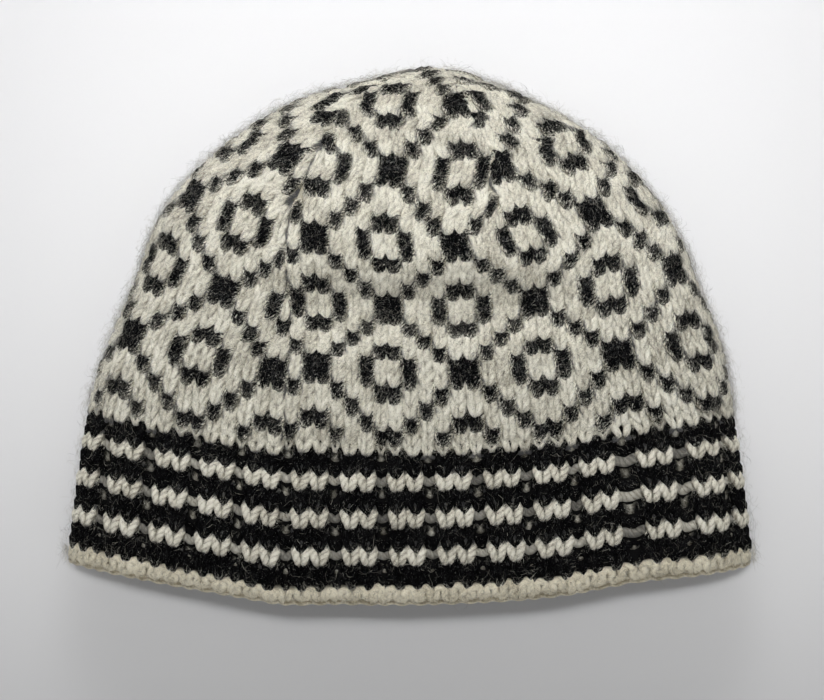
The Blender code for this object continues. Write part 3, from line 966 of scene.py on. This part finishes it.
# %% Felted fuzz and a halo of longer hairs
ALL_ROWS, EDGE_ROWS = (-0.6, ROWS - 1), (-0.9, 0.6)
THIN, STOUTER = FIBRE_RADIUS, FIBRE_RADIUS * 1.35
FUZZ = (       # name, count, on charcoal, strays, at folds, rows, length, stand, points, radius
    ("cream_felt", 7000, False, 0.12, 0.0, ALL_ROWS, 0.0036, 0.0010, 4, STOUTER),
    ("cream_felt_more", 6500, True, 0.55, 0.0, ALL_ROWS, 0.0034, 0.0012, 4, THIN),
    ("charcoal_felt", 8600, True, 1.00, 0.0, ALL_ROWS, 0.0036, 0.0010, 4, THIN),
    ("cream_hairs", 4200, False, 0.60, 0.80, ALL_ROWS, 0.0062, 0.0048, 5, THIN),
    ("charcoal_hairs", 2400, True, 0.40, 0.80, ALL_ROWS, 0.0060, 0.0042, 5, THIN),
    ("edge_fuzz", 1900, False, 0.0, 0.0, EDGE_ROWS, 0.0034, 0.0014, 4, STOUTER),
    ("fold_fuzz", 9000, False, 0.60, 0.985, ALL_ROWS, 0.0030, 0.0024, 4, STOUTER),
)
for name, count, charcoal, strays, at_folds, rows, *shape in FUZZ:
    place, normal = fibre_starts(count, charcoal, strays, at_folds, rows)
    pieces[name] = fibres(name, place, normal, *shape)

# %% [markdown]
# ## Wool
# Wool scatters light softly and has no gloss, so the shader is rough, with a little sheen
# for the fuzz. A photo of wool as a texture would bring its own light and repeat. Three
# effects vary the shader instead: the plies that turn round the yarn, fine fibres of other
# shades carded into it, and the stitches' small differences. The first two are node
# groups, because all the yarns here use them. The colour also carries painted shade: darker
# in the grooves between the plies and at the two sides of each yarn, where strands meet.


# %% A node group and its sockets
def new_group(name, inputs, outputs):
    """An empty shader group with its sockets: name, kind and starting value for each."""
    group = bpy.data.node_groups.new(name, "ShaderNodeTree")
    for label, kind, value in inputs:
        socket = group.interface.new_socket(label, in_out="INPUT", socket_type=kind)
        socket.default_value = value
    for label, kind in outputs:
        group.interface.new_socket(label, in_out="OUTPUT", socket_type=kind)
    return group, group.nodes.new("NodeGroupInput"), group.nodes.new("NodeGroupOutput")


def add_math(tree, operation, *operands):
    """A Math node; each operand is a socket or a number."""
    node = tree.nodes.new("ShaderNodeMath")
    node.operation = operation
    for socket, value in zip(node.inputs, operands):
        if isinstance(value, bpy.types.NodeSocket):
            tree.links.new(value, socket)
        else:
            socket.default_value = value
    return node.outputs[0]


def add_noise(tree, scale, detail, roughness, distortion):
    """A Noise Texture node with its settings."""
    node = tree.nodes.new("ShaderNodeTexNoise")
    node.inputs["Scale"].default_value = scale
    node.inputs["Detail"].default_value = detail
    node.inputs["Roughness"].default_value = roughness
    node.inputs["Distortion"].default_value = distortion
    return node


NUMBER = "NodeSocketFloat"
print("groups so far:", len(bpy.data.node_groups))

# %% Spun wool
STREAK_LENGTH = 8.0         # streaks for one turn of the plies
SIDE_SHADE_SHARPNESS = 5.0


def spun_group():
    """Relief, streaks and painted shade of spun wool, on the yarn's own map. The turns are the
    place along times the twist, plus the place round. The plies are the absolute sine of half
    the turns times their number, so they make round ridges with sharp grooves; the yarns use
    them for relief and to paint shade into the grooves. The streaks are a noise drawn out
    along the yarn. The third output is 1 at the two sides of the yarn as it lies and falls to
    0 between them, as the fifth power of a cosine; the yarns paint shade there, where two
    strands meet."""
    group, given, result = new_group(
        "spun_wool",
        [("Plies", NUMBER, 3.0), ("Twist", NUMBER, 1.0), ("Streaks", NUMBER, 26.0)],
        [("Ply", NUMBER), ("Streak", NUMBER), ("Side", NUMBER)],
    )
    place = group.nodes.new("ShaderNodeUVMap")
    place.uv_map = "yarn"
    parts = group.nodes.new("ShaderNodeSeparateXYZ")
    group.links.new(place.outputs["UV"], parts.inputs[0])
    along, about = parts.outputs["X"], parts.outputs["Y"]
    turns = add_math(group, "MULTIPLY_ADD", along, given.outputs["Twist"], about)
    half_turns = add_math(group, "MULTIPLY", turns, given.outputs["Plies"])
    angle = add_math(group, "MULTIPLY", half_turns, np.pi)
    ridge = add_math(group, "ABSOLUTE", add_math(group, "SINE", angle))
    drawn = group.nodes.new("ShaderNodeCombineXYZ")
    group.links.new(add_math(group, "MULTIPLY", along, STREAK_LENGTH), drawn.inputs["X"])
    group.links.new(add_math(group, "MULTIPLY", turns, given.outputs["Streaks"]), drawn.inputs["Y"])
    noise = add_noise(group, scale=1.0, detail=3.0, roughness=0.6, distortion=0.8)
    group.links.new(drawn.outputs["Vector"], noise.inputs["Vector"])
    round_angle = add_math(group, "MULTIPLY_ADD", about, 2 * np.pi, -np.pi / 2)
    beside = add_math(group, "ABSOLUTE", add_math(group, "COSINE", round_angle))
    group.links.new(add_math(group, "POWER", beside, SIDE_SHADE_SHARPNESS), result.inputs["Side"])
    group.links.new(ridge, result.inputs["Ply"])
    group.links.new(noise.outputs["Fac"], result.inputs["Streak"])
    return group


SPUN_WOOL = spun_group()
print(SPUN_WOOL.name, "has", len(SPUN_WOOL.nodes), "nodes")


# %% Carded fibres
def fibre_group():
    """Carded fibres: fine noise on the object's coordinates, distorted so that it curls.
    Fleck is the fine noise, Blotch a broad one."""
    group, given, result = new_group(
        "carded_fibres", [("Scale", NUMBER, 2100.0)], [("Fleck", NUMBER), ("Blotch", NUMBER)],
    )
    place = group.nodes.new("ShaderNodeTexCoord")
    fine = add_noise(group, scale=5.0, detail=3.0, roughness=0.75, distortion=1.6)
    broad = add_noise(group, scale=140.0, detail=4.0, roughness=0.5, distortion=0.0)
    group.links.new(place.outputs["Object"], fine.inputs["Vector"])
    group.links.new(place.outputs["Object"], broad.inputs["Vector"])
    group.links.new(given.outputs["Scale"], fine.inputs["Scale"])
    group.links.new(fine.outputs["Fac"], result.inputs["Fleck"])
    group.links.new(broad.outputs["Fac"], result.inputs["Blotch"])
    return group


CARDED_FIBRES = fibre_group()
print(CARDED_FIBRES.name, "has", len(CARDED_FIBRES.nodes), "nodes")


# %% Helpers for the wool materials
def add_group(tree, group):
    """A group placed in a material."""
    node = tree.nodes.new("ShaderNodeGroup")
    node.node_tree = group
    return node


def add_attribute(tree, name):
    """A named value of the mesh."""
    node = tree.nodes.new("ShaderNodeAttribute")
    node.attribute_name = name
    return node.outputs["Fac"]


def ramp(tree, factor, stops):
    """A colour ramp; each stop is a position and a colour."""
    node = tree.nodes.new("ShaderNodeValToRGB")
    elements = node.color_ramp.elements
    for element, (position, colour) in zip((elements[0], elements[-1]), (stops[0], stops[-1])):
        element.position, element.color = position, (*colour, 1.0)
    for position, colour in stops[1:-1]:
        elements.new(position).color = (*colour, 1.0)
    tree.links.new(factor, node.inputs[0])
    return node.outputs[0]


def mixed(tree, factor, first, second):
    """Two colours mixed by a factor."""
    node = tree.nodes.new("ShaderNodeMix")
    node.data_type = "RGBA"
    tree.links.new(factor, node.inputs[0])
    tree.links.new(first, node.inputs[6])
    tree.links.new(second, node.inputs[7])
    return node.outputs[2]


def weighted(tree, parts):
    """Sum of sockets, each times its weight."""
    total = None
    for socket, weight in parts:
        share = add_math(tree, "MULTIPLY", socket, weight)
        total = share if total is None else add_math(tree, "ADD", total, share)
    return total


print("materials so far:", len(bpy.data.materials))

# %% A rough shader with relief
ROUGHNESS, SHEEN_ROUGHNESS = 0.95, 0.6


def wool_shader(name, sheen, gloss):
    """A material with the rough shader that all wool here uses."""
    material = bpy.data.materials.new(name)
    material.use_nodes = True
    shader = material.node_tree.nodes["Principled BSDF"]
    shader.inputs["Roughness"].default_value = ROUGHNESS
    shader.inputs["Specular IOR Level"].default_value = gloss
    shader.inputs["Sheen Weight"].default_value = sheen
    shader.inputs["Sheen Roughness"].default_value = SHEEN_ROUGHNESS
    return material, material.node_tree, shader


def add_relief(tree, shader, height, strength, distance):
    """Bump from a height, in metres at full strength."""
    bump = tree.nodes.new("ShaderNodeBump")
    bump.inputs["Strength"].default_value = strength
    bump.inputs["Distance"].default_value = distance
    tree.links.new(height, bump.inputs["Height"])
    tree.links.new(bump.outputs["Normal"], shader.inputs["Normal"])


print("wool has a roughness of", ROUGHNESS, "and no coat")

# %% Yarn
# The ply and side effects paint shade: the ply's grooves and the yarn's sides come out darker.
EFFECT_MEANS = (0.5, 0.5, 0.5, 0.5, 0.64, 0.2)      # of streak, fleck, blotch, stitch, ply, side
FRAY = (1.6, 1.5)           # what streaks and flecks add where the wools mingle
FRAY_FROM, FRAY_TO = 1.98, 2.12
RELIEF = (1.3, 1.5, 0.45)   # of streaks, flecks and plies
RELIEF_DEPTH = 0.00042


def shade_factor(tree, effects, shares):
    """A place on a ramp of shades: one half, plus each effect's share of its difference
    from its own mean."""
    middle = 0.5 - sum(share * mean for share, mean in zip(shares, EFFECT_MEANS))
    return add_math(tree, "ADD", weighted(tree, tuple(zip(effects, shares))), middle)


def yarn_wool(name, own, strange, sheen, gloss, mingling, twist=1.0):
    """Spun wool. Its place on its own ramp of shades follows the effects, each by its
    share, and the shares of the plies and of the sides paint shade into the ply grooves and
    where two strands meet. Where the other wool lies close, its fibres show: the mask rises
    smoothly from 0 to 1 as 1.6 streaks plus 1.5 flecks plus the nearness times the mingling go
    from 1.98 to 2.12. The veil is laid on unevenly, times two streaks plus two flecks less one."""
    material, tree, shader = wool_shader(name, sheen, gloss)
    carded, spun = add_group(tree, CARDED_FIBRES), add_group(tree, SPUN_WOOL)
    spun.inputs["Twist"].default_value = twist
    streak, ply, side = spun.outputs["Streak"], spun.outputs["Ply"], spun.outputs["Side"]
    fleck, blotch = carded.outputs["Fleck"], carded.outputs["Blotch"]
    effects = (streak, fleck, blotch, add_attribute(tree, "stitch"), ply, side)
    own_colour = ramp(tree, shade_factor(tree, effects, own["shares"]), own["shades"])
    other_colour = ramp(tree, shade_factor(tree, effects, strange["shares"]), strange["shades"])
    close = add_attribute(tree, "other")
    nearness = weighted(tree, zip((streak, fleck, close), (*FRAY, mingling)))
    mask = tree.nodes.new("ShaderNodeMapRange")
    mask.interpolation_type = "SMOOTHSTEP"
    mask.inputs["From Min"].default_value = FRAY_FROM
    mask.inputs["From Max"].default_value = FRAY_TO
    tree.links.new(nearness, mask.inputs["Value"])
    colour = mixed(tree, mask.outputs["Result"], own_colour, other_colour)
    uneven = add_math(tree, "SUBTRACT", weighted(tree, ((streak, 2.0), (fleck, 2.0))), 1.0)
    veil = add_math(tree, "MULTIPLY", add_attribute(tree, "veil"), uneven)
    tree.links.new(mixed(tree, veil, colour, other_colour), shader.inputs["Base Color"])
    height = weighted(tree, zip((streak, fleck, ply), RELIEF))
    add_relief(tree, shader, height, strength=1.0, distance=RELIEF_DEPTH)
    return material


print("relief of the yarn (mm):", round(RELIEF_DEPTH * 1000, 2))


# %% Single fibres
def fuzz_wool(name, shades, sheen, gloss):
    """Single fibres, in the shades of their wool."""
    material, tree, shader = wool_shader(name, sheen, gloss)
    carded = add_group(tree, CARDED_FIBRES)
    factor = weighted(tree, ((carded.outputs["Fleck"], 0.5), (carded.outputs["Blotch"], 0.5)))
    tree.links.new(ramp(tree, factor, shades), shader.inputs["Base Color"])
    return material


print("fibres have no relief of their own")

# %% Shades of the wools
# In each table of shares the last two paint shade: a share of the plies darkens their grooves, a
# negative share of the sides darkens the yarn where strands meet.
CREAM = {
    "shares": (0.42, 0.90, 0.30, 0.08, 0.08, -0.08),
    "shades": (
        (0.34, (0.20, 0.175, 0.12)),
        (0.43, (0.52, 0.485, 0.375)),
        (0.52, (0.80, 0.765, 0.63)),
        (0.62, (0.97, 0.945, 0.82)),
    ),
}
BAND_CREAM = {
    "shares": (0.48, 0.95, 0.22, 0.08, 0.15, -0.16),
    "shades": (
        (0.30, (0.14, 0.12, 0.085)),
        (0.42, (0.50, 0.465, 0.365)),
        (0.52, (0.80, 0.76, 0.63)),
        (0.62, (0.98, 0.95, 0.83)),
    ),
}
EDGE_CREAM = {
    "shares": (0.40, 0.80, 0.20, 0.06, 0.08, -0.20),
    "shades": (
        (0.34, (0.24, 0.20, 0.12)),
        (0.43, (0.54, 0.48, 0.345)),
        (0.52, (0.80, 0.735, 0.56)),
        (0.62, (0.95, 0.89, 0.71)),
    ),
}
CHARCOAL = {
    "shares": (0.28, 0.56, 0.08, 0.02, 0.03, -0.01),
    "shades": (
        (0.46, (0.0008, 0.0008, 0.0011)),
        (0.53, (0.0035, 0.0035, 0.0042)),
        (0.57, (0.022, 0.022, 0.022)),
        (0.62, (0.27, 0.27, 0.26)),
    ),
}
BAND_CHARCOAL = {
    "shares": CHARCOAL["shares"],
    "shades": (
        (0.45, (0.0008, 0.0008, 0.0010)),
        (0.53, (0.0032, 0.0032, 0.0037)),
        (0.575, (0.020, 0.020, 0.020)),
        (0.63, (0.14, 0.14, 0.135)),
    ),
}
FUZZ_SHADES = ((0.35, (0.19, 0.18, 0.155)), (0.65, (0.42, 0.40, 0.34)))
BRIGHT_SHADES = ((0.40, (0.45, 0.43, 0.35)), (0.60, (0.85, 0.82, 0.71)))
DARK_SHADES = (
    (0.44, (0.003, 0.003, 0.0035)),
    (0.58, (0.022, 0.022, 0.022)),
    (0.66, (0.09, 0.09, 0.086)),
)
CLOTH_SHADES = ((0.45, (0.42, 0.395, 0.31)), (0.95, (0.003, 0.003, 0.003)))
print("palest cream and charcoal:", CREAM["shades"][-1][1], CHARCOAL["shades"][-1][1])

# %% Five yarns and three kinds of fuzz
cream_wool = yarn_wool("cream_yarn", CREAM, CHARCOAL, sheen=0.32, gloss=0.2, mingling=1.45)
band_cream_wool = yarn_wool(
    "band_cream_yarn", BAND_CREAM, CHARCOAL, sheen=0.15, gloss=0.2, mingling=1.25, twist=1.7,
)
edge_wool = yarn_wool("edge_yarn", EDGE_CREAM, CHARCOAL, sheen=0.15, gloss=0.2, mingling=0.6)
charcoal_wool = yarn_wool("charcoal_yarn", CHARCOAL, CREAM, sheen=0.0, gloss=0.03, mingling=0.90)
band_charcoal_wool = yarn_wool(
    "band_charcoal_yarn", BAND_CHARCOAL, CREAM, sheen=0.0, gloss=0.03, mingling=0.85,
)
cream_fuzz = fuzz_wool("cream_fuzz", FUZZ_SHADES, sheen=0.05, gloss=0.1)
bright_fuzz = fuzz_wool("bright_fuzz", BRIGHT_SHADES, sheen=0.05, gloss=0.1)
charcoal_fuzz = fuzz_wool("charcoal_fuzz", DARK_SHADES, sheen=0.02, gloss=0.1)
print("materials:", [material.name for material in bpy.data.materials])


# %% The backing cloth's material
def backing_wool():
    """The two wools mixed by the cloth's own value, with a noise that frays the border,
    and darker than the stitches, as the cloth lies in their shade."""
    material, tree, shader = wool_shader("backing_wool", sheen=0.0, gloss=0.1)
    carded = add_group(tree, CARDED_FIBRES)
    factor = weighted(tree, ((add_attribute(tree, "dark"), 1.0), (carded.outputs["Fleck"], 0.5)))
    tree.links.new(ramp(tree, factor, CLOTH_SHADES), shader.inputs["Base Color"])
    add_relief(tree, shader, carded.outputs["Fleck"], strength=0.8, distance=0.0004)
    return material


cloth_wool = backing_wool()
print(cloth_wool.name, "is ready")

# %% [markdown]
# ## Dressing the pieces
# On the real hat the wool is the form. Here every piece takes its wool and the body that it
# moves with. The stitches stand for the plain solids, which stay for weight and touch. One
# table says all this and lists the slot of the record that each piece belongs to, so that
# no piece is forgotten.

# %% Wool, body and slot of each piece
PIECE_FACTS = {             # material, the solid it stands for, and its slot
    "crown_cream_front": (cream_wool, "crown", "cream_wool"),
    "crown_charcoal_front": (charcoal_wool, "crown", "cream_wool"),
    "crown_cream_back": (cream_wool, "crown", "cream_wool"),
    "crown_charcoal_back": (charcoal_wool, "crown", "cream_wool"),
    "band_cream": (band_cream_wool, "ribbed_band", "charcoal_wool"),
    "band_charcoal": (band_charcoal_wool, "ribbed_band", "charcoal_wool"),
    "edge_stitches": (edge_wool, "cast_on_edge", "ecru_wool"),
    "rim_strand": (edge_wool, "cast_on_edge", "ecru_wool"),
    "backing_cloth": (cloth_wool, None, "cream_wool"),
    "cream_felt": (bright_fuzz, None, "cream_wool"),
    "cream_felt_more": (cream_fuzz, None, "cream_wool"),
    "charcoal_felt": (charcoal_fuzz, None, "charcoal_wool"),
    "cream_hairs": (cream_fuzz, None, "cream_wool"),
    "fold_fuzz": (cream_fuzz, None, "cream_wool"),
    "edge_fuzz": (bright_fuzz, None, "ecru_wool"),
    "charcoal_hairs": (charcoal_fuzz, None, "charcoal_wool"),
}
for name, (material, node, slot) in PIECE_FACTS.items():
    piece = pieces[name]
    piece.data.materials.append(material)
    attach(piece, "root")
    if node:
        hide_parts(node)
print(len(PIECE_FACTS), "pieces dressed")

# %% [markdown]
# ## The studio
# The hat lies on a plain pale board. The camera looks straight down on it, and soft light
# comes from beyond the crown, so the board fades towards the rim. A bright world alone
# would light it flatly. Two area lights beyond the crown and a dim world shade the relief
# of the stitches and leave the soft shadow below the rim.

# %% Floor
FLOOR_TOP, FLOOR_HALF = -0.0003, 1.5
floor = add_mesh(
    "floor",
    np.array([(-1, -1, 0), (1, -1, 0), (1, 1, 0), (-1, 1, 0)]) * FLOOR_HALF + (0, 0, FLOOR_TOP),
    [np.array([[0, 1, 2, 3]])],
)
board = bpy.data.materials.new("pale_board")
board.use_nodes = True
paint = board.node_tree.nodes["Principled BSDF"]
paint.inputs["Base Color"].default_value = (0.60, 0.60, 0.607, 1)
paint.inputs["Roughness"].default_value = 0.8
floor.data.materials.append(board)


# %% Lights
def soft_light(name, place, aim, size, power, spread):
    """A square area light that faces its aim; the spread is the angle of its beam."""
    lamp = bpy.data.lights.new(name, "AREA")
    lamp.size, lamp.energy, lamp.spread = size, power, np.radians(spread)
    light = bpy.data.objects.new(name, lamp)
    light.location = place
    light.rotation_euler = (Vector(aim) - Vector(place)).to_track_quat("-Z", "Y").to_euler()
    bpy.context.scene.collection.objects.link(light)


soft_light("window", (0.009, 0.368, 1.280), (0.009, 0.142, 0), size=0.44, power=0.59, spread=17)
soft_light("far_window", (0.0, 1.088, 0.507), (0.0, 0.0, 0), size=0.60, power=6.1, spread=180)
world = bpy.data.worlds.new("studio")
bpy.context.scene.world = world
world.use_nodes = True
sky = world.node_tree.nodes["Background"]
sky.inputs["Color"].default_value = (1, 1, 1, 1)
sky.inputs["Strength"].default_value = 0.445
print("lights:", [lamp.name for lamp in bpy.data.lights])

# %% Camera
CAMERA_HEIGHT = 1.0
VIEW_WIDTH = 0.2911         # how much of the board the picture is wide
SENSOR = 36.0
lens = bpy.data.cameras.new("camera")
lens.sensor_width = SENSOR
lens.lens = SENSOR * CAMERA_HEIGHT / VIEW_WIDTH
camera = bpy.data.objects.new("camera", lens)
camera.location = (0.0003, -0.0061, CAMERA_HEIGHT)
bpy.context.scene.collection.objects.link(camera)
bpy.context.scene.camera = camera
bpy.context.scene.view_settings.view_transform = "Standard"
print("lens:", round(lens.lens, 1), "mm")
